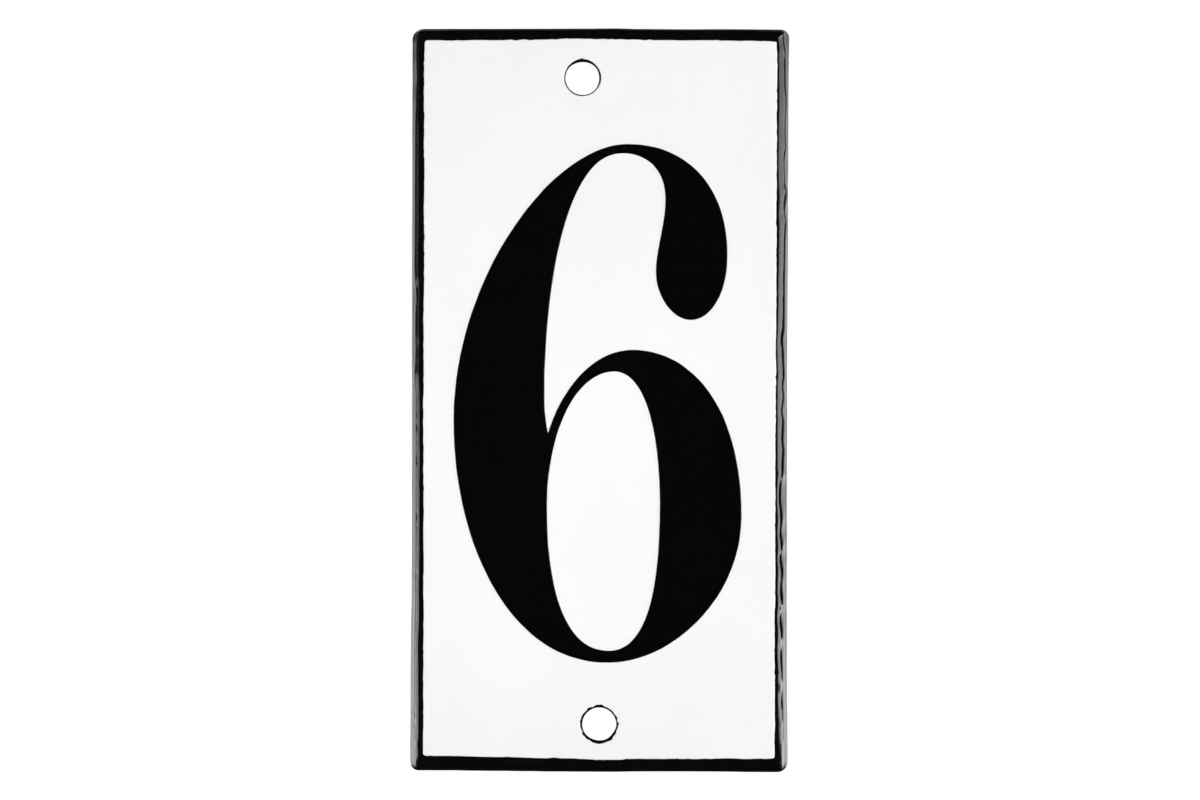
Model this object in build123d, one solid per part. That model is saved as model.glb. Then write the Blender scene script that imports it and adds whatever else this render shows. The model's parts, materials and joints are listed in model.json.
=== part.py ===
from build123d import *
from math import cos, radians, tan
import os

# A house number sign: a small tray pressed from sheet steel, with enamel fused over it in three coats.
# The black first coat covers the whole tray and counts as part of its wall. The white second coat
# covers the flat of the front, and the black numeral is stencilled on top of it.
# X runs to the right as the sign is read, Z runs up, and the front faces -Y. The origin lies on the
# wall, behind the middle of the sign. Lengths are in millimetres and angles in degrees.

# Tray: a flat front with a rim folded back to the wall. Its width and height are taken at the wall,
# before the lip is rounded.
plate_width = 50.6
plate_height = 100.0
plate_depth = 4.0
wall = 1.1
rim_draft = 12.0
bend_radius = 1.2
inner_bend_least = 0.1
lip_radius = 0.3

# Screw holes: each place is measured from the nearer end of the tray and from its middle line
hole_radius = 2.3
hole_edge_radius = 0.15
top_hole_from_end = 7.0
top_hole_from_middle = -2.4
bottom_hole_from_end = 6.75
bottom_hole_from_middle = 0.05

# White coat: its edges stop just short of the bends and of the holes
coat_thickness = 0.15
coat_side_setback = 0.05
coat_end_setback = 0.2
coat_hole_setback = 0.2

# Numeral: it fills what these margins leave of the white coat
numeral_thickness = 0.1
numeral_left_margin = 3.95
numeral_right_margin = 4.45
numeral_top_margin = 13.8
numeral_bottom_margin = 12.95

# The outline of the six, read clockwise. Each line is one curve: its start and its two handles, as
# fractions of the numeral's width and height from its lower left corner. It ends at the next start.
outer_curves = [
    ((0.600, 1.000), (0.813, 1.000), (0.949, 0.918)),  # top of the arch, down to the terminal
    ((0.949, 0.784), (0.949, 0.714), (0.892, 0.661)),  # right side of the round terminal
    ((0.820, 0.661), (0.761, 0.661), (0.701, 0.705)),  # foot of the terminal
    ((0.701, 0.753), (0.701, 0.800), (0.733, 0.845)),  # left side of the terminal
    ((0.733, 0.894), (0.733, 0.945), (0.680, 0.982)),  # neck above the terminal
    ((0.581, 0.982), (0.389, 0.982), (0.315, 0.728)),  # inner side of the arch and the stem
    ((0.315, 0.516), (0.315, 0.490), (0.319, 0.466)),  # stem, down to the crotch
    ((0.328, 0.443), (0.376, 0.533), (0.492, 0.6035)),  # thin stroke from the crotch to the bowl
    ((0.619, 0.6035), (0.840, 0.6035), (1.000, 0.480)),  # shoulder of the bowl
    ((1.000, 0.286), (1.000, 0.123), (0.757, 0.000)),  # right side of the bowl
    ((0.536, 0.000), (0.190, 0.000), (0.000, 0.235)),  # foot and left side of the bowl
    ((0.000, 0.4675), (0.000, 0.742), (0.343, 1.000)),  # back of the stem, up to the arch
]
counter_curves = [
    ((0.557, 0.5616), (0.660, 0.5616), (0.716, 0.455)),  # top of the counter
    ((0.716, 0.300), (0.716, 0.126), (0.664, 0.0233)),  # right side
    ((0.539, 0.0233), (0.390, 0.0233), (0.325, 0.139)),  # foot
    ((0.325, 0.302), (0.325, 0.454), (0.433, 0.5616)),  # left side
]

# Worked out from the sizes above
wall_plane = Plane(origin=(0, 0, 0), x_dir=(1, 0, 0), z_dir=(0, -1, 0))
coat_plane = wall_plane.offset(plate_depth)
numeral_plane = coat_plane.offset(coat_thickness)
rim_run = plate_depth * tan(radians(rim_draft))
bend_setback = bend_radius * tan(radians((90 - rim_draft) / 2))
coat_width = plate_width - 2 * (rim_run + bend_setback + coat_side_setback)
coat_height = plate_height - 2 * (rim_run + bend_setback + coat_end_setback)
hole_centres = [
    (top_hole_from_middle, plate_height / 2 - top_hole_from_end),
    (bottom_hole_from_middle, bottom_hole_from_end - plate_height / 2),
]


def drafted_block(width, height, depth, bend):
    """A block that narrows from the wall to its front, with every edge rounded but those at the wall."""
    block = extrude(wall_plane * Rectangle(width, height), amount=depth, taper=rim_draft)
    wall_face = block.faces().sort_by(Axis.Y)[-1]
    return fillet(block.edges() - wall_face.edges(), bend)


def hole_discs(radius):
    """One disc of this radius at each screw hole, in the drawing's own coordinates."""
    return Sketch() + [Pos(x, z) * Circle(radius) for x, z in hole_centres]


def pressed_tray():
    """The steel tray under its black first coat: an even wall, two rounded holes and a rounded lip."""
    wall_across = wall / cos(radians(rim_draft))
    inner_bend = max(bend_radius - wall, inner_bend_least)
    outside = drafted_block(plate_width, plate_height, plate_depth, bend_radius)
    inside = drafted_block(
        plate_width - 2 * wall_across, plate_height - 2 * wall_across, plate_depth - wall, inner_bend
    )
    tray = outside - inside - extrude(wall_plane * hole_discs(hole_radius), amount=plate_depth)
    hole_rims = [
        edge
        for edge in tray.edges().filter_by(GeomType.CIRCLE)
        if edge.is_closed and abs(edge.radius - hole_radius) < hole_edge_radius
    ]
    tray = fillet(hole_rims, hole_edge_radius)
    lip_edges = tray.faces().sort_by(Axis.Y)[-1].edges()
    return fillet(lip_edges, lip_radius)


def white_coat():
    """The white field, square cornered and cut back round both holes."""
    field = Rectangle(coat_width, coat_height) - hole_discs(hole_radius + coat_hole_setback)
    return extrude(coat_plane * field, amount=coat_thickness)


def closed_outline(curves):
    """The closed line of one list of curves, scaled to the numeral's box within the margins."""
    left = numeral_left_margin - coat_width / 2
    foot = numeral_bottom_margin - coat_height / 2
    width = coat_width - numeral_left_margin - numeral_right_margin
    height = coat_height - numeral_top_margin - numeral_bottom_margin
    starts = [curve[0] for curve in curves]
    ends = starts[1:] + starts[:1]
    edges = []
    for curve, end in zip(curves, ends):
        points = [(left + width * across, foot + height * up) for across, up in (*curve, end)]
        edges.append(Edge.make_bezier(*points))
    return Wire(edges)


def numeral_six():
    """The six as one thin solid, with its counter open."""
    outline = Face(closed_outline(outer_curves), [closed_outline(counter_curves)])
    return extrude(numeral_plane * outline, amount=numeral_thickness, dir=numeral_plane.z_dir)


parts = {
    "plate": pressed_tray(),
    "face_coat": white_coat(),
    "numeral": numeral_six(),
}

os.makedirs("parts", exist_ok=True)
for name, solid in parts.items():
    export_step(solid, f"parts/{name}.step")
    box = solid.bounding_box()
    print(f"{name}: {len(solid.solids())} solid, {solid.volume:.1f} mm3, box {box.min} to {box.max}")
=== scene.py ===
import json
import math

import bmesh
import bpy
import numpy as np
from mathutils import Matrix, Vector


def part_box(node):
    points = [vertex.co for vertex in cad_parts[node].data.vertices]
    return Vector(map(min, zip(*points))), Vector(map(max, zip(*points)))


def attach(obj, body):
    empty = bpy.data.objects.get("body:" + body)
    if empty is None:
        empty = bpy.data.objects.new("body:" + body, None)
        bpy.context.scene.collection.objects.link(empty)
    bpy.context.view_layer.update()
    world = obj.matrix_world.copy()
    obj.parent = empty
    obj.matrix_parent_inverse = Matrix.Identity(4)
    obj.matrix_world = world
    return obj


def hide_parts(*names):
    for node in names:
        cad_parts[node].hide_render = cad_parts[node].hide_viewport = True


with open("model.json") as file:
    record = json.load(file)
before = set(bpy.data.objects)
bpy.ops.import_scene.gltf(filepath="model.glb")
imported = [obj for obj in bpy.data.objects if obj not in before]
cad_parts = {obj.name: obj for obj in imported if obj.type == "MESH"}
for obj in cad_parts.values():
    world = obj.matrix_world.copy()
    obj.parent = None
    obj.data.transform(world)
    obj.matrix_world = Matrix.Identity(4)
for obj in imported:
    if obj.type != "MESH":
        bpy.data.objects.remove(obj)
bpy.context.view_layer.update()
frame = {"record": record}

# An enamelled house number sign. Lengths are in metres. X runs to the right as the sign is read,
# Z runs up, and the front faces -Y. The wall lies at Y = 0.
MM = 0.001

# The places that the frame gives
tray_low, tray_high = (np.array(corner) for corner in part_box("plate"))
coat_low, coat_high = (np.array(corner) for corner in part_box("face_coat"))
numeral_low, numeral_high = (np.array(corner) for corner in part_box("numeral"))
mounts = {mount["name"]: mount for mount in frame["record"]["mounts"]}
top_hole = mounts["top_screw_hole"]["pos_m"]
bottom_hole = mounts["bottom_screw_hole"]["pos_m"]
HOLE = mounts["top_screw_hole"]["dims"]["r_mm"] * MM
TRAY_FRONT = tray_low[1]
COAT_FRONT = coat_low[1]
NUMERAL_FRONT = numeral_low[1]

# The tray's own section
WALL = 1.1 * MM
DRAFT = math.radians(12.0)
BEND = 1.2 * MM
INNER_BEND = 0.3 * MM
LIP = 0.42 * MM
CORNERS = np.array([1.35, 1.15, 1.45, 1.0]) * MM  # the rim's corner radii, counter-clockwise from lower right
CREASE = 0.12 * MM  # the radius of the mitre, where two bends meet at a corner
FLAT_RUN = 1.3 * MM  # how far the rim's strip reaches in over the flats of the front and the back
HOLE_EDGE = 0.16 * MM
HOLE_RUN = 0.9 * MM  # how far a hole's strip reaches out over the flats

# How finely the meshes are divided
RIM_STEP = 0.28 * MM
FLAT_POINTS, BEND_POINTS, FLANGE_POINTS, LIP_POINTS = 3, 26, 6, 12
INNER_LIP_POINTS, INNER_FLANGE_POINTS, INNER_BEND_POINTS, BACK_POINTS = 9, 7, 7, 3
CORNER_POINTS = 14
HOLE_POINTS, HOLE_EDGE_POINTS, HOLE_WALL_POINTS = 120, 7, 3
EDGE_STEP = 0.14 * MM
COAT_EDGE_POINTS = 6
WHITE_HOLE_POINTS = 240
CURVE_POINTS = 160
PANEL_COLUMNS = 24


# Numbers that vary smoothly

def lattice_noise(across, along, cell_across, cell_along, period, seed):
    """Value noise of two parameters in metres, from -1 to 1. Random values sit on a grid of cells and
    are blended by the smooth step t * t * (3 - 2 t). It repeats along the second one every period."""
    columns = max(1, round(period / cell_along))
    u = across / cell_across
    v = along / period * columns
    rows = int(np.ceil(np.max(np.abs(u)))) + 2
    grid = np.random.default_rng(seed).uniform(-1, 1, (2 * rows + 2, columns))
    u_cell, v_cell = np.floor(u).astype(int), np.floor(v).astype(int)
    u_share, v_share = u - u_cell, v - v_cell
    u_share = u_share * u_share * (3 - 2 * u_share)
    v_share = v_share * v_share * (3 - 2 * v_share)
    row, column = u_cell + rows, v_cell % columns
    following = (column + 1) % columns
    near = grid[row, column] * (1 - v_share) + grid[row, following] * v_share
    far = grid[row + 1, column] * (1 - v_share) + grid[row + 1, following] * v_share
    return near * (1 - u_share) + far * u_share


def line_noise(along, cell, period, seed):
    """The same value noise along a single line, in cells of one length."""
    return lattice_noise(np.zeros(1), along, MM, cell, period, seed)


def hump(position, centre, half_width):
    """A smooth hump of height 1: exp(-(distance / half width) squared)."""
    return np.exp(-(((position - centre) / half_width) ** 2))


def with_humps(values, angle, marks):
    """Values round a circle plus a hump for each mark, an (angle in degrees, half width in degrees,
    height in millimetres)."""
    for middle, half_width, height in marks:
        turn = (np.degrees(angle) - middle + 180) % 360 - 180
        values = values + height * MM * hump(turn, 0, half_width)
    return values


def smooth_step(value, low, high):
    """0 below low, 1 above high, and the smooth step t * t * (3 - 2 t) between."""
    share = np.clip((value - low) / (high - low), 0, 1)
    return share * share * (3 - 2 * share)


def through(position, knots):
    """A smooth line through a few given (position, value) pairs in millimetres, with a half
    cosine wave between each pair and the next."""
    places, values = (np.array(column, float) * MM for column in zip(*knots))
    position = np.clip(position, places[0], places[-1])
    index = np.clip(np.searchsorted(places, position) - 1, 0, len(places) - 2)
    share = (position - places[index]) / (places[index + 1] - places[index])
    share = (1 - np.cos(np.pi * share)) / 2
    return values[index] * (1 - share) + values[index + 1] * share


# Meshes

def strip_faces(rings, points, first):
    """Quads between rings of points, each ring closed on itself. Point k of ring j has the number
    first + j * points + k."""
    ring, point = np.meshgrid(np.arange(rings - 1), np.arange(points), indexing="ij")
    here = first + ring * points + point
    beside = first + ring * points + (point + 1) % points
    return np.stack([here, beside, beside + points, here + points], -1).reshape(-1, 4)


def closed_piece(name, strips):
    """One closed shell of strips of rings, each an array of (rings, points, 3). The first rings of all
    the strips bound one flat, and their last rings bound the other."""
    firsts = np.cumsum([0] + [strip.shape[0] * strip.shape[1] for strip in strips])
    vertices = np.concatenate([strip.reshape(-1, 3) for strip in strips])
    faces = np.concatenate([
        strip_faces(strip.shape[0], strip.shape[1], first) for strip, first in zip(strips, firsts)
    ])
    mesh = bpy.data.meshes.new(name)
    mesh.from_pydata(vertices.tolist(), [], faces.tolist())
    shell = bmesh.new()
    shell.from_mesh(mesh)
    shell.verts.ensure_lookup_table()
    for end in (0, 1):
        edges = []
        for strip, first in zip(strips, firsts):
            rings, points = strip.shape[:2]
            start = first + (rings - 1) * points * end
            ring = [shell.verts[start + k] for k in range(points)]
            edges += [shell.edges.get((ring[k - 1], ring[k])) for k in range(points)]
        bmesh.ops.triangle_fill(shell, use_beauty=True, edges=edges)
    bmesh.ops.recalc_face_normals(shell, faces=shell.faces)
    shell.to_mesh(mesh)
    shell.free()
    mesh.shade_smooth()
    piece = bpy.data.objects.new(name, mesh)
    bpy.context.collection.objects.link(piece)
    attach(piece, "root")
    return piece


def arc(centre, radius, start, end, count):
    """Points of an arc in a section: centre + radius * (sin a, -cos a), for a from start to end."""
    angle = np.linspace(start, end, count)
    return np.stack([centre[0] + radius * np.sin(angle), centre[1] - radius * np.cos(angle)], -1)


def run(start, end, count):
    """Points inside a straight run of a section, without its two ends."""
    share = np.linspace(0, 1, count + 2)[1:-1, None]
    return np.array(start) * (1 - share) + np.array(end) * share


def rounded_rectangle(half_x, half_z, radius, steps_x, steps_z):
    """Rings round a rectangle with arcs for corners, counter-clockwise from the lower right. The half
    sizes have one value for each ring, and the radius has four. Returns the points as (rings, points,
    2) and each point's outward direction."""
    corners, outward = [], []
    for number, (side_x, side_z) in enumerate([(1, -1), (1, 1), (-1, 1), (-1, -1)]):
        angle = (number - 1) * math.pi / 2 + np.linspace(0, math.pi / 2, CORNER_POINTS)
        away = np.stack([np.cos(angle), np.sin(angle)], -1)
        turn = radius[:, number, None]
        centre = np.stack([side_x * (half_x[:, None] - turn), side_z * (half_z[:, None] - turn)], -1)
        corners.append(centre + turn[..., None] * away)
        outward.append(away)
    points, directions = [], []
    for number, steps in enumerate([steps_z, steps_x, steps_z, steps_x]):
        share = np.linspace(0, 1, steps + 1)[1:-1, None]
        start, end = corners[number][:, -1:], corners[(number + 1) % 4][:, :1]
        points += [corners[number], start * (1 - share) + end * share]
        directions += [outward[number], np.repeat(outward[number][-1:], steps - 1, 0)]
    return np.concatenate(points, 1), np.concatenate(directions)


def path_length(points):
    """Distance along a closed line of points, and its whole length."""
    steps = np.linalg.norm(np.roll(points, -1, 0) - points, axis=1)
    return np.concatenate([[0], np.cumsum(steps)[:-1]]), steps.sum()


def in_space(plane_points, depth):
    """Points of a (x, z) drawing set at their depths y."""
    depth = np.broadcast_to(depth, plane_points.shape[:-1])
    return np.stack([plane_points[..., 0], depth, plane_points[..., 1]], -1)


# The tray: sheet steel under a thick black ground coat

def rim_section():
    """The rim's section, as (distance out from the edge of the flat, depth): the flat of the front, the
    outer bend, the drafted flange, the rounded lip, the inside of the flange, the inner bend, the flat
    of the back. Also gives the number of points before the middle of the lip."""
    back = TRAY_FRONT + WALL
    turn = math.pi / 2 - DRAFT
    outer = arc((0, TRAY_FRONT + BEND), BEND, 0, turn, BEND_POINTS)
    outer_lip = outer[-1][0] - outer[-1][1] * math.tan(DRAFT)
    inner_lip = outer_lip - WALL / math.cos(DRAFT)
    outer_centre = (outer_lip - LIP * math.tan((math.pi / 2 + DRAFT) / 2), -LIP)
    outer_round = arc(outer_centre, LIP, turn, math.pi, LIP_POINTS)
    inner_centre = (inner_lip + LIP * math.tan(turn / 2), -LIP)
    inner_round = arc(inner_centre, LIP, math.pi, math.pi + turn, INNER_LIP_POINTS)
    inner_corner = inner_lip + back * math.tan(DRAFT)
    bend_centre = (inner_corner - INNER_BEND * math.tan(turn / 2), back + INNER_BEND)
    inner = arc(bend_centre, INNER_BEND, turn, 0, INNER_BEND_POINTS)
    front_part = [
        np.array([[-FLAT_RUN, TRAY_FRONT]]),
        run((-FLAT_RUN, TRAY_FRONT), (0, TRAY_FRONT), FLAT_POINTS - 1),
        outer,
        run(outer[-1], outer_round[0], FLANGE_POINTS),
        outer_round,
    ]
    back_part = [
        inner_round,
        run(inner_round[-1], inner[0], INNER_FLANGE_POINTS),
        inner,
        run(inner[-1], (-FLAT_RUN, back), BACK_POINTS),
        np.array([[-FLAT_RUN, back]]),
    ]
    return np.concatenate(front_part + back_part), sum(len(part) for part in front_part)


def wandering_section(section, bend):
    """The same section with another bend radius at each place along the rim, and its lip kept. A bend
    of radius R starts at the flat's edge. The flange runs on from it at the angle a for which its line
    meets the lip's point (x, y): x sin a - (y - R) cos a = R."""
    lip_x, lip_y = section[FLAT_POINTS + BEND_POINTS + FLANGE_POINTS] - (0, TRAY_FRONT)
    turn = np.arctan2(lip_y - bend, lip_x) + np.arcsin(bend / np.hypot(lip_x, lip_y - bend))
    angle = np.linspace(0, 1, BEND_POINTS)[:, None] * turn
    curve = np.stack([bend * np.sin(angle), bend * (1 - np.cos(angle))], -1)
    share = np.linspace(0, 1, FLANGE_POINTS + 2)[1:-1, None, None]
    flange = curve[-1:] * (1 - share) + np.array([lip_x, lip_y]) * share
    moved = np.repeat(section[:, None], len(bend), 1)
    moved[FLAT_POINTS:FLAT_POINTS + BEND_POINTS + FLANGE_POINTS] = (
        np.concatenate([curve, flange]) + (0, TRAY_FRONT)
    )
    return moved


def section_normals(section):
    """Directions square to a section: its tangent turned by a right angle, away from the metal."""
    tangent = np.gradient(section, axis=0)
    tangent /= np.linalg.norm(tangent, axis=1)[:, None]
    return np.stack([tangent[:, 1], -tangent[:, 0]], -1)


# How the bends wander: the bend's radius, by height on the two long sides and by the place across on the
# top one, and how much the glaze flattens the bend of the long sides, by height. All in millimetres.
RIGHT_BEND = [
    (-50, 1.16), (-41.2, 1.15), (-38.7, 1.08), (-36.9, 1.14), (-36.1, 1.14), (-34.8, 1.08), (-32.8, 1.04),
    (-31, 1.2), (-28.9, 0.95), (-26.6, 1.2), (-24.9, 1.04), (-22.9, 1.22), (-20.8, 0.95), (-19.2, 1.15),
    (-17.7, 0.9), (-15.6, 1.1), (-13, 0.84), (-11.8, 0.88), (-9.1, 1.3), (-8.1, 1.29), (-6.8, 1.36),
    (-5.3, 1.23), (-3, 1.33), (-1.5, 1.1), (0.5, 1.33), (1.9, 1.2), (3.4, 1.37), (5.9, 1.27), (7.9, 1.1),
    (10, 1.34), (13.2, 1.32), (16.6, 1.29), (20, 1.32), (23.9, 1.46), (25.3, 1.28), (27.7, 1.52),
    (29.5, 1.25), (31.7, 1.15), (34, 1.38), (36.6, 1.27), (40, 1.4), (43.3, 1.26), (45.8, 1.2),
    (46.6, 1.2), (48.5, 0.95), (50, 0.95),
]
RIGHT_FLATS = [
    (-50, 0), (-43, 0.0), (-41.2, 0.005), (-39.6, 0.02), (-37.4, 0.005), (-36.4, 0.01),
    (-35, 0.01), (-33.9, 0.035), (-32, -0.01), (-30.2, 0.03), (-28, 0.03), (-27.1, -0.02), (-26, 0.03),
    (-21, 0.04), (-17, 0.04), (-14.3, 0.05), (-12.6, 0.07), (-11, 0.06), (-9.3, 0.025), (-8, 0.015),
    (-3.5, 0.015), (-1, -0.01), (3, -0.01), (5, 0.01), (6.5, 0.04), (8, 0.07), (9.6, 0.03), (11, 0.008),
    (20, 0.0), (24, -0.01), (32, -0.01), (42, -0.01), (45, 0.01), (50, 0),
]
LEFT_BEND = [
    (-50, 1.16), (0, 1.16), (3.3, 1.33), (5, 1.23), (6.6, 1.16), (8.5, 1.22), (11, 1.22), (12.2, 1.16),
    (13.3, 1.09), (14.6, 1.14), (16.6, 1.3), (18, 1.33), (20, 1.3), (30, 1.3), (36.5, 1.28),
    (39, 1.18), (43, 1.08), (46, 1.1), (50, 1.15),
]
LEFT_FLATS = [(-50, 0), (0, 0), (5, 0.01), (12, 0.02), (16, 0.01), (40, 0.01), (50, 0)]
TOP_BEND = [(-25, 1.3), (-15, 1.42), (20, 1.42), (25, 1.3)]
# Small runs in the glaze of the left bend, each (height, degrees that the bend has turned, half length,
# half width, depth), with the lengths in millimetres
LEFT_RUNS = [
    (-1.9, 61, 0.35, 0.24, 0.032), (-3.6, 59, 0.5, 0.3, 0.042), (-7.7, 61, 0.4, 0.26, 0.036),
    (-8.4, 57, 0.35, 0.26, 0.036), (-15.7, 59, 0.7, 0.3, 0.052), (-17.2, 57, 0.35, 0.26, 0.04),
    (-23.5, 58, 0.55, 0.3, 0.05), (-33.5, 61, 0.4, 0.2, 0.016), (-42.0, 63, 0.35, 0.24, 0.03),
    (-43.4, 62, 0.5, 0.28, 0.042), (-46.3, 62, 0.5, 0.26, 0.036),
]
BEND_LINE = math.radians(55.0)  # how far the bend has turned where the glaze flattens it
FLAT_REACH = 0.42 * MM

# The bead of glaze gathered along the lip: its height, half width and distance in from the lip's round,
# the share of it that varies along the rim, with that noise's cell and seed, and how much heavier it gets
# between two depths below the middle of the sign
LIP_BEAD, BEAD_WIDTH, BEAD_INSET = 0.045 * MM, 0.32 * MM, 0.35 * MM
BEAD_VARIES, BEAD_CELL, BEAD_SEED = 0.25, 9 * MM, 13
BEAD_HEAVIER, BEAD_HEAVIER_BELOW = 0.5, (-5 * MM, 30 * MM)

# The glaze's value noise: its height, its cells across and along the rim, and its seed
WAVES, WAVE_CELLS, WAVE_SEED = 0.013 * MM, (0.8 * MM, 3.6 * MM), 11
RIPPLES, RIPPLE_CELLS, RIPPLE_SEED = 0.005 * MM, (0.4 * MM, 1.3 * MM), 12
BACK_WAVES = 0.012 * MM

# Where something fades in, from nothing at the first value to all of it at the second. Lengths are
# distances out from the edge of the flat.
SIDE_FADE = (0.5, 1.0)  # a side's knots, by how squarely a point of a corner faces that side
MITRE_FADE = (0.75 * MM, 1.5 * MM)  # the corner's arc, from the mitre
GLAZE_FADE = (0, 0.3 * MM)  # the glaze's relief on the front
BACK_FADE = (-0.9 * MM, 0.2 * MM)  # the waves on the back
LIP_FADE_FRONT, LIP_FADE_BACK = (0.2 * MM, 1.3 * MM), (-1.2 * MM, 0.05 * MM)  # how far the lip stands out

# How far the lip stands out from an even tray, by height on the long sides and by the place across on
# the short ones, in millimetres
RIGHT_LIP = [
    (-50, 0.18), (-46.4, 0.18), (-43, 0.13), (-39, 0.07), (-33, 0.04), (-27, 0.02), (-20, 0.03),
    (-13, 0.0), (-7, 0.0), (0, -0.02), (7, -0.015), (13, 0.025), (20, 0.06), (27, 0.03), (33, 0.06),
    (39, 0.07), (43, 0.09), (45.5, 0.11), (47.5, 0.145), (50, 0.16),
]
LEFT_LIP = [
    (-50, 0.04), (-47.5, 0.11), (-46.2, 0.13), (-45, 0.09), (-39, 0.1), (-33, 0.08), (-27, 0.0),
    (-20, -0.04), (-13, -0.02), (-7, -0.02), (0, -0.01), (7, 0.045), (13, 0.03), (20, 0.06),
    (27, 0.055), (33, 0.06), (39, 0.08), (43, 0.04), (45.5, 0.08), (47.5, 0.065), (50, 0.06),
]
TOP_LIP = [
    (-25, -0.055), (-23, -0.055), (-20, -0.035), (-15, -0.025), (-10, 0.005), (-1.3, 0.035), (0, 0.065),
    (2, 0.085), (5.3, 0.025), (12, -0.01), (18.7, 0.02), (22, -0.01), (25, -0.015),
]
BOTTOM_LIP = [
    (-25, -0.083), (-20, -0.085), (-16.7, -0.05), (-13.4, -0.02), (-10, 0.01), (-6.7, 0.04), (0, 0.056),
    (2, 0.053), (5.3, 0.005), (10, -0.022), (15.4, 0.0), (22, 0.04), (25, 0.04),
]


def rim_strip():
    """The rim's section carried round the tray. Its bend wanders, and its lip stands out by the knots
    of each side. The glaze stands off it by flat * -exp(-(s / reach)^2), s being the distance from the
    bend's line, by small runs on the left, by a bead along the lip, and by value noise all over."""
    section, lip = rim_section()
    out = section[:, 0]
    normals = section_normals(section)
    reach = out.max()
    half = (tray_high - tray_low)[[0, 2]] / 2 - reach
    centre = (tray_high + tray_low)[[0, 2]] / 2
    outside = np.arange(len(out)) < lip
    growth = smooth_step(out, *MITRE_FADE)[:, None]
    radius = np.where(
        outside[:, None],
        CREASE + (CORNERS - CREASE) * growth,
        np.clip(CORNERS - (reach - out)[:, None], INNER_BEND, None),
    )
    rings, outward = rounded_rectangle(
        half[0] + out, half[1] + out, radius,
        round(2 * half[0] / RIM_STEP), round(2 * half[1] / RIM_STEP),
    )
    along, period = path_length(rings[lip])
    across = np.concatenate([[0], np.cumsum(np.linalg.norm(np.diff(section, axis=0), axis=1))])
    across, along = across[:, None], along[None, :]
    waves = lattice_noise(across, along, *WAVE_CELLS, period, WAVE_SEED)
    ripples = lattice_noise(across, along, *RIPPLE_CELLS, period, RIPPLE_SEED)
    glaze = WAVES * waves + RIPPLES * ripples
    aside, height = rings[lip].T
    moved = np.repeat(section[:, None], len(height), 1)
    line = hump(across, FLAT_RUN + BEND * BEND_LINE, FLAT_REACH)
    on_right, on_left, on_top = (
        smooth_step(facing, *SIDE_FADE) for facing in (outward[:, 0], -outward[:, 0], outward[:, 1])
    )
    for on_side, place, bends in [
        (on_right, height, RIGHT_BEND), (on_left, height, LEFT_BEND), (on_top, aside, TOP_BEND),
    ]:
        bend = BEND + (through(place, bends) - BEND) * on_side
        moved += (wandering_section(section, bend) - section[:, None]) * on_side[:, None]
    for on_side, flats in [(on_right, RIGHT_FLATS), (on_left, LEFT_FLATS)]:
        glaze = glaze - through(height, flats) * on_side * line
    for place_z, turned, half_long, half_wide, deep in LEFT_RUNS:
        there = hump(height, place_z * MM, half_long * MM) * on_left
        place_across = FLAT_RUN + BEND * math.radians(turned)
        glaze = glaze - hump(across, place_across, half_wide * MM) * there * deep * MM
    bead = 1 - BEAD_VARIES + BEAD_VARIES * line_noise(along[0], BEAD_CELL, period, BEAD_SEED)
    bead = bead * (1 + BEAD_HEAVIER * smooth_step(-height, *BEAD_HEAVIER_BELOW))
    glaze = glaze + LIP_BEAD * bead * hump(across, across[lip - LIP_POINTS] - BEAD_INSET, BEAD_WIDTH)
    on_front = smooth_step(out, *GLAZE_FADE) * outside
    on_back = smooth_step(np.arange(len(out)), lip, lip + INNER_LIP_POINTS) * smooth_step(out, *BACK_FADE)
    lift = glaze * on_front[:, None] + BACK_WAVES * waves * on_back[:, None]
    moved += lift[..., None] * normals[:, None]
    stands = np.stack([
        np.where(aside > 0, through(height, RIGHT_LIP), through(height, LEFT_LIP)),
        np.where(height > 0, through(aside, TOP_LIP), through(aside, BOTTOM_LIP)),
    ], -1)
    at_lip = np.where(outside, smooth_step(out, *LIP_FADE_FRONT), smooth_step(out, *LIP_FADE_BACK))
    plane = rings + outward * (moved[..., 0] - out[:, None])[..., None]
    plane = plane * (1 + stands / (half + reach) * at_lip[:, None, None]) + centre
    return in_space(plane, moved[..., 1])


def hole_section():
    """A screw hole's section, as (distance out from its wall, depth), front to back."""
    back = TRAY_FRONT + WALL
    return np.concatenate([
        np.array([[HOLE_RUN, TRAY_FRONT], [2 * HOLE_EDGE, TRAY_FRONT]]),
        arc((HOLE_EDGE, TRAY_FRONT + HOLE_EDGE), HOLE_EDGE, 0, -math.pi / 2, HOLE_EDGE_POINTS),
        run((0, TRAY_FRONT + HOLE_EDGE), (0, back - HOLE_EDGE), HOLE_WALL_POINTS),
        arc((HOLE_EDGE, back - HOLE_EDGE), HOLE_EDGE, -math.pi / 2, -math.pi, HOLE_EDGE_POINTS),
        np.array([[2 * HOLE_EDGE, back], [HOLE_RUN, back]]),
    ])


# Round a screw hole: the glaze's value noise and its cell, and how far out its beads reach
HOLE_UNEVEN, HOLE_CELL, BEAD_REACH = 0.02 * MM, 1.6 * MM, 0.6 * MM


def hole_strip(place, beads, seed):
    """A screw hole's section carried round its axis. The glaze gathers at its edge by beads, each a
    mark as in with_humps, and a slight value noise."""
    section = hole_section()
    angle = np.linspace(0, 2 * math.pi, HOLE_POINTS, endpoint=False)
    bead = HOLE_UNEVEN * line_noise(angle * HOLE, HOLE_CELL, 2 * math.pi * HOLE, seed)
    bead = with_humps(bead, angle, beads)
    near_edge = 1 - smooth_step(section[:, :1], 0, BEAD_REACH)
    radius = HOLE + section[:, :1] - bead * near_edge
    ring = np.stack([radius * np.cos(angle), radius * np.sin(angle)], -1)
    return in_space(ring + np.array([place[0], place[2]]), section[:, 1:])


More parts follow.
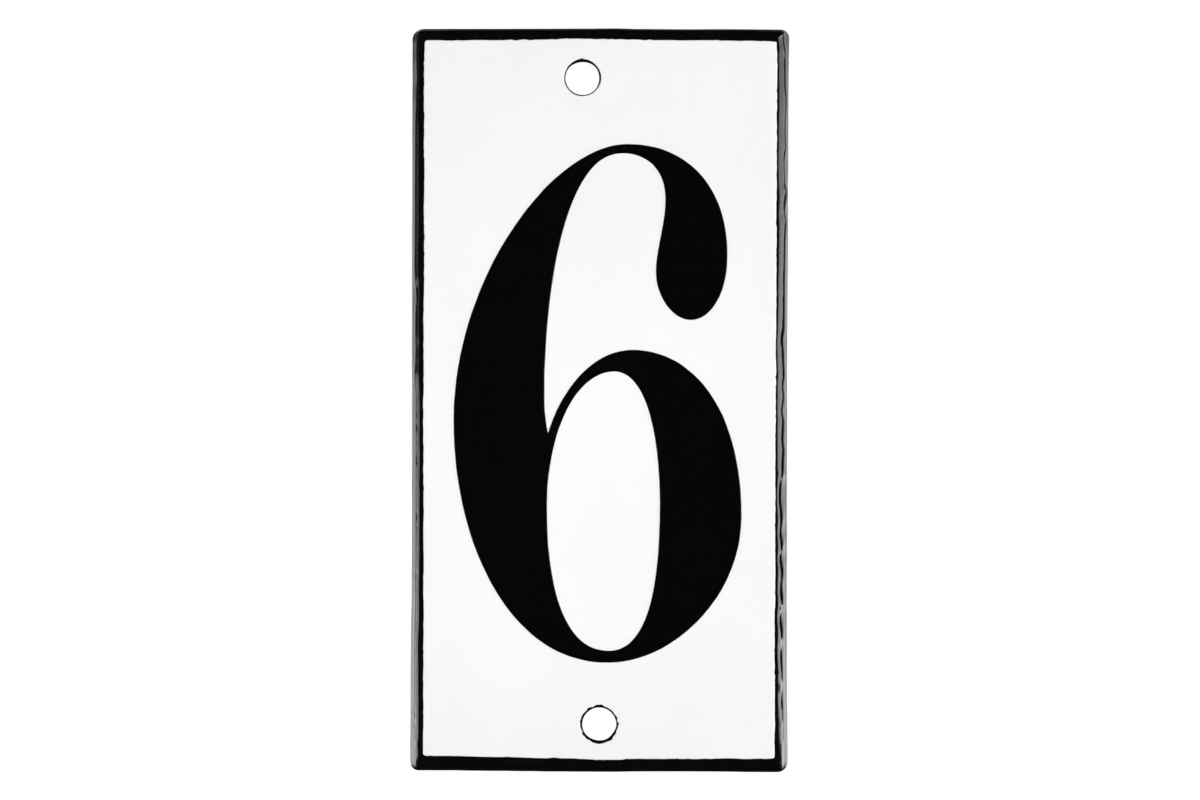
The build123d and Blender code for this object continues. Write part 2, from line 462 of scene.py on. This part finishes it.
TOP_BEADS = [(93, 34, 0.1), (2, 30, 0.05), (-95, 25, 0.05), (-150, 40, 0.05)]
BOTTOM_BEADS = [(-100, 40, 0.08), (-35, 20, 0.07), (20, 25, 0.04), (70, 30, 0.06), (130, 40, 0.09),
                (180, 25, 0.05)]
# Each hole's place, its beads and its seed
TRAY_HOLES = [(top_hole, TOP_BEADS, 21), (bottom_hole, BOTTOM_BEADS, 22)]
INSIDE_FROM, INSIDE_TO = 6, 8  # points before and after the middle of the lip where the coat gets duller


def enamelled_tray():
    """The tray as one closed shell: the rim, both holes, and the flats of the front and the back."""
    strips = [rim_strip()] + [hole_strip(*hole) for hole in TRAY_HOLES]
    piece = closed_piece("enamelled_tray", strips)
    section, lip = rim_section()
    past_lip = smooth_step(np.arange(len(section)), lip - INSIDE_FROM, lip + INSIDE_TO)
    down_hole = smooth_step(hole_section()[:, 1], TRAY_FRONT, TRAY_FRONT + WALL)
    down_hole = np.repeat(down_hole, HOLE_POINTS)
    inside = np.concatenate([np.repeat(past_lip, strips[0].shape[1]), down_hole, down_hole])
    attribute = piece.data.attributes.new("inside", "FLOAT", "POINT")
    attribute.data.foreach_set("value", inside)
    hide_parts("plate")
    return piece


# The coats: thin layers with a rounded edge, sunk a little into what they lie on

SUNK = 0.03 * MM
FLAT_FROM = 1.25  # how far in a coat's flat starts, in thicknesses of the coat


def coat_edge(base, top):
    """The section of a coat's edge, as (distance in from the outline, depth): sunk foot, rounded
    shoulder, and the start of its flat."""
    thick = base - top
    shoulder = arc((thick, base), thick, -math.pi / 2, 0, COAT_EDGE_POINTS)
    return np.concatenate([np.array([[0, base + SUNK]]), shoulder, np.array([[FLAT_FROM * thick, top]])])


def coat_strip(outline, inward, base, top):
    """A coat's edge carried along an outline, given with its directions into the coat."""
    section = coat_edge(base, top)
    rings = outline[None] + inward[None] * section[:, :1, None]
    return in_space(rings, section[:, 1:])


# White coat: brushed back from the rim by hand, so its edges wander. The pairs give the place along
# the edge and how far it stands out there, in millimetres.
TOP_EDGE = [(-23.4, 0.06), (-20, 0.02), (-14, 0.08), (-9, 0.1), (-3.3, 0.29), (2, 0.21), (9, 0.12),
            (16, 0.09), (21, 0.01), (23.4, -0.03)]
BOTTOM_EDGE = [(-23.4, -0.46), (-20, -0.41), (-13, -0.31), (-7, -0.19), (-3.5, -0.14), (-0.2, 0.01),
               (2, 0.0), (5, -0.13), (12, -0.11), (19, -0.17), (23.4, -0.18)]
LEFT_EDGE = [(-48, 0.06), (-42, 0.03), (-33, 0.05), (-24, 0.02), (-14, 0.03), (-6, 0.1), (5, 0.14),
             (15, 0.1), (27, 0.08), (36, 0.13), (45, 0.15), (48, 0.08)]
RIGHT_EDGE = [(-48, 0.07), (-38, 0.08), (-30, 0.03), (-20, 0.08), (-10, 0.07), (5, 0.1), (20, 0.13),
              (35, 0.14), (44, 0.19), (48, 0.13)]
COAT_CORNERS = np.array([0.35, 0.25, 0.45, 0.35]) * MM  # counter-clockwise from lower right

# The raggedness of those edges: (height, cell, seed) of its value noise, then the marks of the brush's
# bristles where their own noise is high, and how far the whole coat draws back
RAGGED = [(0.035 * MM, 0.8 * MM, 31), (0.03 * MM, 3.1 * MM, 32)]
BRISTLE_DEPTH, BRISTLE_CELL, BRISTLE_SEED, BRISTLE_FADE = 0.06 * MM, 0.45 * MM, 33, (0.55, 0.95)
DRAWN_BACK = 0.014 * MM


def white_outline():
    """The white coat's outline: a rectangle with small round corners, moved out by the knots of each
    edge and by a fine raggedness of value noise."""
    half = (coat_high - coat_low)[[0, 2]] / 2
    centre = (coat_high + coat_low)[[0, 2]] / 2
    rings, outward = rounded_rectangle(
        half[:1], half[1:], COAT_CORNERS[None],
        round(2 * half[0] / EDGE_STEP), round(2 * half[1] / EDGE_STEP),
    )
    outline = rings[0]
    along, period = path_length(outline)
    x, z = outline.T
    shift_x = np.where(x > 0, through(z, RIGHT_EDGE), through(z, LEFT_EDGE))
    shift_z = np.where(z > 0, through(x, TOP_EDGE), through(x, BOTTOM_EDGE))
    ragged = sum(height * line_noise(along, cell, period, seed) for height, cell, seed in RAGGED)
    bristle = line_noise(along, BRISTLE_CELL, period, BRISTLE_SEED)
    ragged = ragged - BRISTLE_DEPTH * smooth_step(bristle, *BRISTLE_FADE)
    moved = outline * (1 + np.stack([shift_x, shift_z], -1) / half)
    moved = moved + outward * (ragged[:, None] - DRAWN_BACK)
    return moved + centre, -outward


def white_hole(place, offset, ring, rough, notches, seed):
    """The white coat's edge round a screw hole: a circle off the hole's axis, with a rough edge of
    value noise, moved out by wide swellings and short notches, each a mark as in with_humps."""
    angle = np.linspace(0, 2 * math.pi, WHITE_HOLE_POINTS, endpoint=False)
    radius = HOLE + ring * MM
    radius = radius + rough * MM * line_noise(angle * HOLE, ROUGH_CELL, 2 * math.pi * HOLE, seed)
    radius = with_humps(radius, angle, notches)
    away = np.stack([np.cos(angle), np.sin(angle)], -1)
    centre = np.array([place[0] + offset[0] * MM, place[2] + offset[1] * MM])
    return centre + away * radius[:, None], away


TOP_NOTCHES = [(95, 24, 0.06), (93, 5, 0.08), (0, 25, 0.03), (230, 60, 0.03), (155, 20, -0.03)]
BOTTOM_NOTCHES = [(88, 10, 0.10), (83, 3, 0.05), (97, 3, 0.05), (126, 4, 0.08), (150, 8, 0.05),
                  (172, 7, 0.10), (-172, 6, 0.08), (-157, 6, -0.08), (110, 4, -0.1), (2, 4, 0.12),
                  (25, 12, 0.05), (-52, 7, 0.13), (-90, 22, 0.07), (-140, 6, 0.06), (-148, 4, 0.05)]
ROUGH_CELL = 0.4 * MM
# Each hole's place, the ring's offset, width and roughness in millimetres, its notches and its seed
WHITE_HOLES = [
    (top_hole, (0.01, 0.04), 0.14, 0.02, TOP_NOTCHES, 34),
    (bottom_hole, (-0.02, 0.02), 0.19, 0.07, BOTTOM_NOTCHES, 35),
]


def white_field():
    """The white coat as one closed layer with its two holes."""
    outlines = [white_outline()] + [white_hole(*hole) for hole in WHITE_HOLES]
    strips = [coat_strip(outline, inward, TRAY_FRONT, COAT_FRONT) for outline, inward in outlines]
    piece = closed_piece("white_field", strips)
    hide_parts("face_coat")
    return piece


# The numeral: the outline of the six, read clockwise. Each line is one curve, with its start and its
# two handles as fractions of the numeral's box, and it ends at the next start.
SIX_OUTER = [
    ((0.600, 1.000), (0.813, 1.000), (0.949, 0.918)),  # top of the arch, down to the terminal
    ((0.949, 0.784), (0.949, 0.714), (0.892, 0.661)),  # right side of the round terminal
    ((0.820, 0.661), (0.761, 0.661), (0.701, 0.705)),  # foot of the terminal
    ((0.701, 0.753), (0.701, 0.800), (0.733, 0.845)),  # left side of the terminal
    ((0.733, 0.894), (0.733, 0.945), (0.680, 0.982)),  # neck above the terminal
    ((0.581, 0.982), (0.389, 0.982), (0.315, 0.728)),  # inner side of the arch and the stem
    ((0.315, 0.516), (0.315, 0.490), (0.319, 0.466)),  # stem, down to the crotch
    ((0.328, 0.443), (0.376, 0.533), (0.492, 0.6035)),  # thin stroke from the crotch to the bowl
    ((0.619, 0.6035), (0.840, 0.6035), (1.000, 0.480)),  # shoulder of the bowl
    ((1.000, 0.286), (1.000, 0.123), (0.757, 0.000)),  # right side of the bowl
    ((0.536, 0.000), (0.190, 0.000), (0.000, 0.235)),  # foot and left side of the bowl
    ((0.000, 0.4675), (0.000, 0.742), (0.343, 1.000)),  # back of the stem, up to the arch
]
SIX_COUNTER = [
    ((0.557, 0.5616), (0.660, 0.5616), (0.716, 0.455)),  # top of the counter
    ((0.716, 0.300), (0.716, 0.126), (0.664, 0.0233)),  # right side
    ((0.539, 0.0233), (0.390, 0.0233), (0.325, 0.139)),  # foot
    ((0.325, 0.302), (0.325, 0.454), (0.433, 0.5616)),  # left side
]
UNEVEN = [(0.02 * MM, 2.4 * MM), (0.01 * MM, 0.6 * MM)]  # (height, cell) of the value noise of its edge
OUTER_SEED, COUNTER_SEED = 41, 43


def curve_outline(curves):
    """An outline of cubic curves, (1-t)^3 a + 3 (1-t)^2 t b + 3 (1-t) t^2 c + t^3 d, as points an equal
    step apart in the numeral's box."""
    nodes = np.array(curves)
    ends = np.roll(nodes[:, 0], -1, 0)
    t = np.linspace(0, 1, CURVE_POINTS, endpoint=False)[None, :, None]
    start, leave, arrive, end = (part[:, None] for part in (nodes[:, 0], nodes[:, 1], nodes[:, 2], ends))
    points = (1 - t) ** 3 * start + 3 * (1 - t) ** 2 * t * leave + 3 * (1 - t) * t**2 * arrive + t**3 * end
    low, high = numeral_low[[0, 2]], numeral_high[[0, 2]]
    points = low + points.reshape(-1, 2) * (high - low)
    along, length = path_length(points)
    even = np.arange(0, length, EDGE_STEP)
    points = np.concatenate([points, points[:1]])
    along = np.append(along, length)
    return np.stack([np.interp(even, along, points[:, axis]) for axis in (0, 1)], -1)


def numeral_edge(curves, seed):
    """One outline of the numeral with its directions into the black, for a line read clockwise. The
    stencil left it a little uneven: value noise moves it in and out."""
    outline = curve_outline(curves)
    tangent = np.roll(outline, -2, 0) - np.roll(outline, 2, 0)
    tangent /= np.linalg.norm(tangent, axis=1)[:, None]
    inward = np.stack([tangent[:, 1], -tangent[:, 0]], -1)
    along, length = path_length(outline)
    uneven = sum(
        height * line_noise(along, cell, length, seed + number)
        for number, (height, cell) in enumerate(UNEVEN)
    )
    return outline + inward * uneven[:, None], inward


def numeral_six():
    """The six as one closed layer with its counter open."""
    outer, into_outer = numeral_edge(SIX_OUTER, OUTER_SEED)
    counter, into_counter = numeral_edge(SIX_COUNTER, COUNTER_SEED)
    strips = [
        coat_strip(outer, into_outer, COAT_FRONT, NUMERAL_FRONT),
        coat_strip(counter, -into_counter, COAT_FRONT, NUMERAL_FRONT),
    ]
    piece = closed_piece("numeral_six", strips)
    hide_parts("numeral")
    return piece


# Shader maths

class Shade:
    """A socket of a node tree. Arithmetic on it adds Math nodes, and node() adds any other node."""

    def __init__(self, tree, socket=None):
        self.tree = tree
        self.socket = socket

    def node(self, kind, settings=None, inputs=None, output=0, stops=None):
        """A new node: its settings first, then its ramp's stops, then its sockets' values or links."""
        node = self.tree.nodes.new(kind)
        for name, value in (settings or {}).items():
            setattr(node, name, value)
        if stops:
            ramp = node.color_ramp.elements
            while len(ramp) < len(stops):
                ramp.new(0.5)
            for element, (place, colour) in zip(ramp, stops):
                element.position, element.color = place, colour
        for name, value in (inputs or {}).items():
            if isinstance(value, Shade):
                self.tree.links.new(value.socket, node.inputs[name])
            else:
                node.inputs[name].default_value = value
        return Shade(self.tree, node.outputs[output] if len(node.outputs) else None)

    def math(self, operation, first, second=0.0):
        """A Math node of one or two values."""
        return self.node("ShaderNodeMath", {"operation": operation}, {0: first, 1: second})

    def __add__(self, other):
        return self.math("ADD", self, other)

    __radd__ = __add__

    def __sub__(self, other):
        return self.math("SUBTRACT", self, other)

    def __rsub__(self, other):
        return self.math("SUBTRACT", other, self)

    def __mul__(self, other):
        return self.math("MULTIPLY", self, other)

    __rmul__ = __mul__

    def place(self):
        """The point's place on the object."""
        return self.node("ShaderNodeTexCoord", output="Object")

    def step(self, low, high):
        """0 below low and 1 above high, smooth between."""
        settings = {"interpolation_type": "SMOOTHSTEP"}
        return self.node("ShaderNodeMapRange", settings, {"Value": self, "From Min": low, "From Max": high})

    def noise(self, place, scale, detail=2.0, roughness=0.5):
        """Noise from 0 to 1, with the scale in patches for each metre."""
        inputs = {"Vector": place, "Scale": scale, "Detail": detail, "Roughness": roughness}
        return self.node("ShaderNodeTexNoise", None, inputs)

    def blend(self, share, first, second):
        """One colour turned into another by a share from 0 to 1."""
        settings = {"data_type": "RGBA"}
        return self.node("ShaderNodeMix", settings, {0: share, 6: first, 7: second}, output=2)

    def specks(self, place, cell, size, share):
        """Round specks: 1 inside them. Each cell, in metres, may hold one of that radius, in cells, and
        only that share of the cells has one."""
        inputs = {"Vector": place, "Scale": 1 / cell}
        settings = {"feature": "F1"}
        distance = self.node("ShaderNodeTexVoronoi", settings, inputs, output="Distance")
        colour = self.node("ShaderNodeTexVoronoi", settings, inputs, output="Color")
        lot = self.node("ShaderNodeSeparateColor", None, {"Color": colour})
        return (1 - distance.step(size * 0.6, size)) * (1 - lot.step(share, share + 0.001))


def new_material(name):
    """An empty material and its tree."""
    material = bpy.data.materials.new(name)
    material.use_nodes = True
    material.node_tree.nodes.clear()
    return material, Shade(material.node_tree)


def grey(level):
    """An even grey as a colour."""
    return (level, level, level, 1.0)


GLASS_INDEX = 1.52
WHITE_ROUGHNESS, BLACK_ROUGHNESS, GRAIN_ROUGHNESS = 0.07, 0.06, 0.05
COAT_RELIEF, GROUND_RELIEF = 0.004 * MM, 0.006 * MM
CLOUDY_WHITE, CLEAR_WHITE = (0.925, 0.925, 0.92, 1.0), (0.945, 0.945, 0.94, 1.0)


def finish_enamel(tree, colour, roughness, height, depth):
    """Glass-smooth enamel: its colour, its roughness, and a relief of that depth in metres."""
    normal = tree.node("ShaderNodeBump", None, {"Height": height, "Strength": 1.0, "Distance": depth})
    surface = tree.node("ShaderNodeBsdfPrincipled", None, {
        "Base Color": colour, "Roughness": roughness, "IOR": GLASS_INDEX, "Normal": normal,
    })
    tree.node("ShaderNodeOutputMaterial", None, {"Surface": surface})


def orange_peel(tree, place, coarse, fine):
    """The soft relief of a fired coat: wide waves, and finer ones a third as high."""
    return tree.noise(place, coarse, 1.0) + 0.3 * tree.noise(place, fine, 1.0)


def white_enamel():
    """White cover coat: almost even, with faint clouds, a soft orange peel and a few dark specks."""
    material, tree = new_material("white_enamel")
    place = tree.place()
    clouds = tree.noise(place, 55, 3.0)
    grain = tree.noise(place, 900, 2.0)
    specks = tree.specks(place, 6 * MM, 0.016, 0.5)
    colour = tree.blend(clouds.step(0.3, 0.7), CLOUDY_WHITE, CLEAR_WHITE)
    colour = tree.blend(specks * 0.5, colour, grey(0.12))
    roughness = WHITE_ROUGHNESS + GRAIN_ROUGHNESS * grain
    finish_enamel(tree, colour, roughness, orange_peel(tree, place, 420, 1500), COAT_RELIEF)
    return material


def black_numeral_enamel():
    """Black stencilled coat: deep and glossy, with a few pinholes that show pale."""
    material, tree = new_material("black_numeral_enamel")
    place = tree.place()
    specks = tree.specks(place, 5 * MM, 0.02, 0.35)
    grain = tree.noise(place, 700, 2.0)
    colour = tree.blend(specks * 0.25, grey(0.0016), grey(0.12))
    roughness = BLACK_ROUGHNESS + GRAIN_ROUGHNESS * grain
    finish_enamel(tree, colour, roughness, orange_peel(tree, place, 500, 1700), COAT_RELIEF)
    return material


def black_ground_enamel():
    """Black ground coat: glossy on the rim, duller and mottled grey on the back, where it is thin."""
    material, tree = new_material("black_ground_enamel")
    place = tree.place()
    inside = tree.node("ShaderNodeAttribute", {"attribute_name": "inside"}, output="Fac")
    clouds = tree.noise(place, 260, 4.0, 0.6)
    grain = tree.noise(place, 2600, 3.0, 0.65)
    specks = tree.specks(place, 1.3 * MM, 0.06, 0.3)
    outer = tree.blend(grain.step(0.45, 0.8), grey(0.0022), grey(0.006))
    mottled = tree.blend(clouds.step(0.35, 0.7), grey(0.012), grey(0.035))
    mottled = tree.blend(specks * 0.6, mottled, grey(0.16))
    colour = tree.blend(inside, outer, mottled)
    roughness = BLACK_ROUGHNESS + GRAIN_ROUGHNESS * grain + inside * (0.14 + 0.2 * clouds)
    peel = tree.noise(place, 700, 2.0) + 0.25 * grain
    finish_enamel(tree, colour, roughness, peel, GROUND_RELIEF)
    return material


def dress(piece, material):
    """One material all over a piece."""
    piece.data.materials.clear()
    piece.data.materials.append(material)


dress(enamelled_tray(), black_ground_enamel())
dress(white_field(), white_enamel())
dress(numeral_six(), black_numeral_enamel())


# Studio: a pale floor under the sign, a soft panel on either side, and a white surround behind it

FLOOR_DROP, FLOOR_REACH = 12 * MM, 3.0
FLOOR_WHITE = grey(0.86)
# The floor's glow near the sign's foot and what it gains further off, between two distances from a point
FLOOR_GLOW, FAR_GLOW, FAR_FADE = 0.515, 0.15, (0.1, 0.45)
GLOW_CENTRE_Y = -0.2
PANEL_DISTANCE = 0.5


def stage_piece(name, mesh, material):
    """A piece of the studio in its place, which isn't part of the sign."""
    piece = bpy.data.objects.new(name, mesh)
    bpy.context.collection.objects.link(piece)
    piece.data.materials.append(material)
    return piece


def pale_floor():
    """A white floor. Seen by the camera it glows a little, so that only the sign's shadow darkens it."""
    mesh = bpy.data.meshes.new("floor")
    level = tray_low[2] - FLOOR_DROP
    corners = [(x * FLOOR_REACH, y * FLOOR_REACH, level) for x, y in [(-1, -1), (1, -1), (1, 1), (-1, 1)]]
    mesh.from_pydata(corners, [], [(0, 1, 2, 3)])
    material, tree = new_material("floor_white")
    place = tree.place()
    seen = tree.node("ShaderNodeLightPath", output="Is Camera Ray")
    matt = tree.node("ShaderNodeBsdfDiffuse", None, {"Color": FLOOR_WHITE})
    ends = {0: place, 1: (0.0, GLOW_CENTRE_Y, level)}
    away = tree.node("ShaderNodeVectorMath", {"operation": "DISTANCE"}, ends, output="Value")
    glow = seen * (FLOOR_GLOW + FAR_GLOW * away.step(*FAR_FADE))
    glow = tree.node("ShaderNodeEmission", None, {"Color": grey(1.0), "Strength": glow})
    both = tree.node("ShaderNodeAddShader", None, {0: matt, 1: glow})
    tree.node("ShaderNodeOutputMaterial", None, {"Surface": both})
    floor = stage_piece("floor", mesh, material)
    floor.visible_glossy = False


def soft_panel(name, side, rows):
    """A curved soft panel at one distance from the sign, cut to shape. Each row is (height in metres,
    start and end bearing in degrees, glow), with the bearing counted from the way the sign faces, to
    its right for side 1 and to its left for side -1."""
    height, start, end, glow = (np.array(column, float)[:, None] for column in zip(*rows))
    share = np.linspace(0, 1, PANEL_COLUMNS + 1)
    bearing = side * np.radians(start * (1 - share) + end * share)
    x, y = PANEL_DISTANCE * np.sin(bearing), -PANEL_DISTANCE * np.cos(bearing)
    vertices = np.stack([x, y, np.broadcast_to(height, x.shape)], -1).reshape(-1, 3)
    row, column = np.meshgrid(np.arange(len(rows) - 1), np.arange(PANEL_COLUMNS), indexing="ij")
    here = (row * len(share) + column).reshape(-1)
    faces = np.stack([here, here + 1, here + 1 + len(share), here + len(share)], -1)
    mesh = bpy.data.meshes.new(name)
    mesh.from_pydata(vertices.tolist(), [], faces.tolist())
    glows = mesh.attributes.new("glow", "FLOAT", "POINT")
    glows.data.foreach_set("value", np.broadcast_to(glow, x.shape).reshape(-1).astype(np.float32))
    material, tree = new_material(name + "_light")
    strength = tree.node("ShaderNodeAttribute", {"attribute_name": "glow"}, output="Fac")
    light = tree.node("ShaderNodeEmission", None, {"Strength": strength})
    tree.node("ShaderNodeOutputMaterial", None, {"Surface": light})
    stage_piece(name, mesh, material).visible_camera = False


# The rows of the two panels, from the highest down. Their outlines are what the gloss of the rim shows.
RIGHT_PANEL = [
    (0.165, 84, 88, 2.4), (0.128, 72, 90, 2.7), (0.12, 44, 91, 2.8), (0.105, 38, 93, 3.0),
    (0.0995, 38, 95, 3.0), (0.088, 36, 108, 3.2), (0.07, 32, 108, 3.6), (0.058, 38, 108, 3.9),
    (0.048, 43, 95, 4.2), (0.039, 42, 94, 4.4), (0.031, 37, 93, 4.6), (0.024, 27, 92, 4.8),
    (0.0185, 29, 80, 4.9), (0.011, 31, 89, 5.1), (0.003, 36, 88, 5.1), (-0.007, 30, 87, 5.2),
    (-0.015, 25, 80, 5.3), (-0.021, 32, 79, 5.4), (-0.026, 47, 80, 5.5), (-0.0315, 50, 80, 5.5),
    (-0.037, 42, 84, 5.6), (-0.05, 44, 83, 5.9), (-0.058, 45, 82, 6.1), (-0.066, 44, 82, 6.4),
    (-0.077, 44, 86, 6.8), (-0.081, 47, 94, 7.1), (-0.085, 53, 108, 7.3), (-0.0885, 62, 116, 7.5),
    (-0.0895, 66, 122, 7.6), (-0.0935, 79, 122, 7.9), (-0.0985, 82, 122, 8.0), (-0.104, 79, 122, 8.0),
    (-0.11, 86, 122, 8.0), (-0.116, 95, 122, 8.0), (-0.124, 102, 122, 7.0), (-0.14, 104, 122, 6.0),
    (-0.17, 92, 122, 4.5), (-0.25, 65, 122, 3.0), (-0.5, 45, 122, 2.0),
]
LEFT_PANEL = [
    (0.19, 76, 104, 0.1), (0.085, 76, 104, 0.15), (0.074, 72, 102, 0.5), (0.047, 72, 102, 0.6),
    (0.035, 72, 96, 0.5), (0.012, 72, 96, 0.5), (0.006, 62, 108, 1.6), (0.0, 60, 114, 2.0),
    (-0.015, 60, 117, 2.4), (-0.033, 60, 117, 3.0), (-0.035, 60, 111, 3.1), (-0.038, 60, 111, 3.2),
    (-0.04, 60, 117, 3.2), (-0.0495, 61, 118, 3.5), (-0.051, 61, 110, 3.5), (-0.053, 61, 110, 3.6),
    (-0.0545, 61, 118, 3.7), (-0.066, 61, 118, 4.1), (-0.087, 61, 120, 4.4), (-0.1, 63, 122, 4.8),
    (-0.107, 80, 122, 5.2), (-0.115, 94, 122, 6.0), (-0.125, 103, 122, 5.0), (-0.14, 105, 122, 4.0),
    (-0.17, 98, 122, 3.0), (-0.25, 80, 122, 2.0), (-0.5, 60, 122, 1.5),
]

# The front lamp: the side of its square, its power, and its place
FILL_SIZE, FILL_WATTS, FILL_PLACE = 0.1, 0.226, (-0.03, -0.225, -0.03)


def front_fill():
    """A small lamp near the camera's line that lifts the face and is kept out of its gloss."""
    lamp = bpy.data.lights.new("front_fill", "AREA")
    lamp.size, lamp.energy = FILL_SIZE, FILL_WATTS
    fill = bpy.data.objects.new("front_fill", lamp)
    fill.location = FILL_PLACE
    fill.rotation_euler = (math.pi / 2, 0, 0)
    fill.visible_glossy = False
    fill.visible_camera = False
    bpy.context.collection.objects.link(fill)


# How bright the surround behind the sign is in its gloss, by the rise of the way there plus a half
BEHIND_STOPS = [
    (place, grey(level)) for place, level in [
        (0.0, 0.0), (0.16, 0.0), (0.24, 1.1), (0.39, 1.2), (0.43, 1.2), (0.465, 0.92), (0.5, 0.76),
        (0.61, 0.46), (0.9, 0.4), (1.0, 0.02),
    ]
]
PLAIN_LIGHT = 0.44  # the surround's even light on whatever isn't gloss
GLOSS_LEAST = 0.008  # what the gloss still shows where the surround is dark

# The parts of that gloss, by how far each point of the surround lies back, aside, left or up, on a way of
# length 1. Each fades in between two values.
BACK_FADE_IN, BESIDE_FADE = (0.52, 0.58), (0.14, 0.26)
ABOVE_GLOW, ABOVE_FADE = 0.09, (0.2, 0.32)
GLOW_MIDDLE, GLOW_ASIDE = 0.95, 0.37
LOW_FADE, LOW_DIMS = (-0.08, 0.04), 0.7
LOW_MIDDLE, LOW_ASIDE_FADE = 0.007, (0.304, 0.404)
HIGH_LEFT_FADE, HIGH_FADE, HIGH_LEFT_DIMS = (0.1, 0.4), (0.102, 0.122), 0.85
PATCH_FROM, PATCH_TO, PATCH_FADE, PATCH_RISE_FADE = 0.22, 0.75, (0.0, 0.05), (0.13, 0.16)
PATCH_GLOW, PATCH_GLOW_RISE = 0.05, 0.75


def surround():
    """The world: white to the camera, soft grey light on the sign, and in its gloss a band of light
    behind it. That band starts beside the sign, is dim straight above it, and fades by its rise. It is
    brighter to the right, dim high up on the left and low down near the middle, and has one patch high
    up on the left, between two slanting lines."""
    world = bpy.data.worlds.new("surround")
    world.use_nodes = True
    world.node_tree.nodes.clear()
    tree = Shade(world.node_tree)
    seen, clear, glossy = (
        tree.node("ShaderNodeLightPath", output=ray)
        for ray in ("Is Camera Ray", "Is Transmission Ray", "Is Glossy Ray")
    )
    way = tree.node("ShaderNodeTexCoord", output="Generated")
    aside, back, rise = (
        tree.node("ShaderNodeSeparateXYZ", None, {"Vector": way}, output=axis) for axis in "XYZ"
    )
    left = 0 - aside
    level = tree.node("ShaderNodeValToRGB", None, {"Fac": rise + 0.5}, stops=BEHIND_STOPS)
    level = tree.node("ShaderNodeRGBToBW", None, {"Color": level})
    low = 1 - rise.step(*LOW_FADE)
    near_middle = 1 - tree.math("ABSOLUTE", aside - LOW_MIDDLE).step(*LOW_ASIDE_FADE)
    high_left = left.step(*HIGH_LEFT_FADE) * rise.step(*HIGH_FADE)
    level = level * (1 - LOW_DIMS * low * near_middle)
    level = level * (GLOW_MIDDLE + GLOW_ASIDE * aside * (1 - LOW_DIMS * low))
    level = level * (1 - HIGH_LEFT_DIMS * high_left)
    patch = (left - PATCH_FROM * rise).step(*PATCH_FADE)
    patch = patch * (1 - (left - PATCH_TO * rise).step(*PATCH_FADE))
    patch = patch * rise.step(*PATCH_RISE_FADE) * (PATCH_GLOW + PATCH_GLOW_RISE * rise)
    beside = tree.math("ABSOLUTE", aside).step(*BESIDE_FADE)
    above = ABOVE_GLOW * rise.step(*ABOVE_FADE)
    behind = back.step(*BACK_FADE_IN)
    band = GLOSS_LEAST + behind * (beside * level + (1 - beside) * above + patch)
    white = tree.math("MAXIMUM", seen, clear)
    plain = 1 - tree.math("MAXIMUM", white, glossy)
    strength = white + glossy * band + plain * PLAIN_LIGHT
    light = tree.node("ShaderNodeBackground", None, {"Color": grey(1.0), "Strength": strength})
    tree.node("ShaderNodeOutputWorld", None, {"Surface": light})
    bpy.context.scene.world = world


# The camera: its place, its lens and film in millimetres, its roll, and how near and far it sees
CAMERA_PLACE = (0.05 * MM, -0.424, 0.03 * MM)
CAMERA_LENS, CAMERA_FILM = 94.43, 36.0
CAMERA_ROLL = math.radians(-0.15)
CAMERA_NEAR, CAMERA_FAR = 0.01, 20.0


def photo_camera():
    """The photograph's view: square to the face, level with its middle, and rolled a touch."""
    data = bpy.data.cameras.new("camera")
    data.lens, data.sensor_width = CAMERA_LENS, CAMERA_FILM
    data.clip_start, data.clip_end = CAMERA_NEAR, CAMERA_FAR
    camera = bpy.data.objects.new("camera", data)
    camera.location = CAMERA_PLACE
    camera.rotation_euler = (math.pi / 2, CAMERA_ROLL, 0)
    bpy.context.collection.objects.link(camera)
    bpy.context.scene.camera = camera


pale_floor()
soft_panel("panel_right", 1, RIGHT_PANEL)
soft_panel("panel_left", -1, LEFT_PANEL)
front_fill()
surround()
photo_camera()
bpy.context.scene.view_settings.view_transform = "Standard"
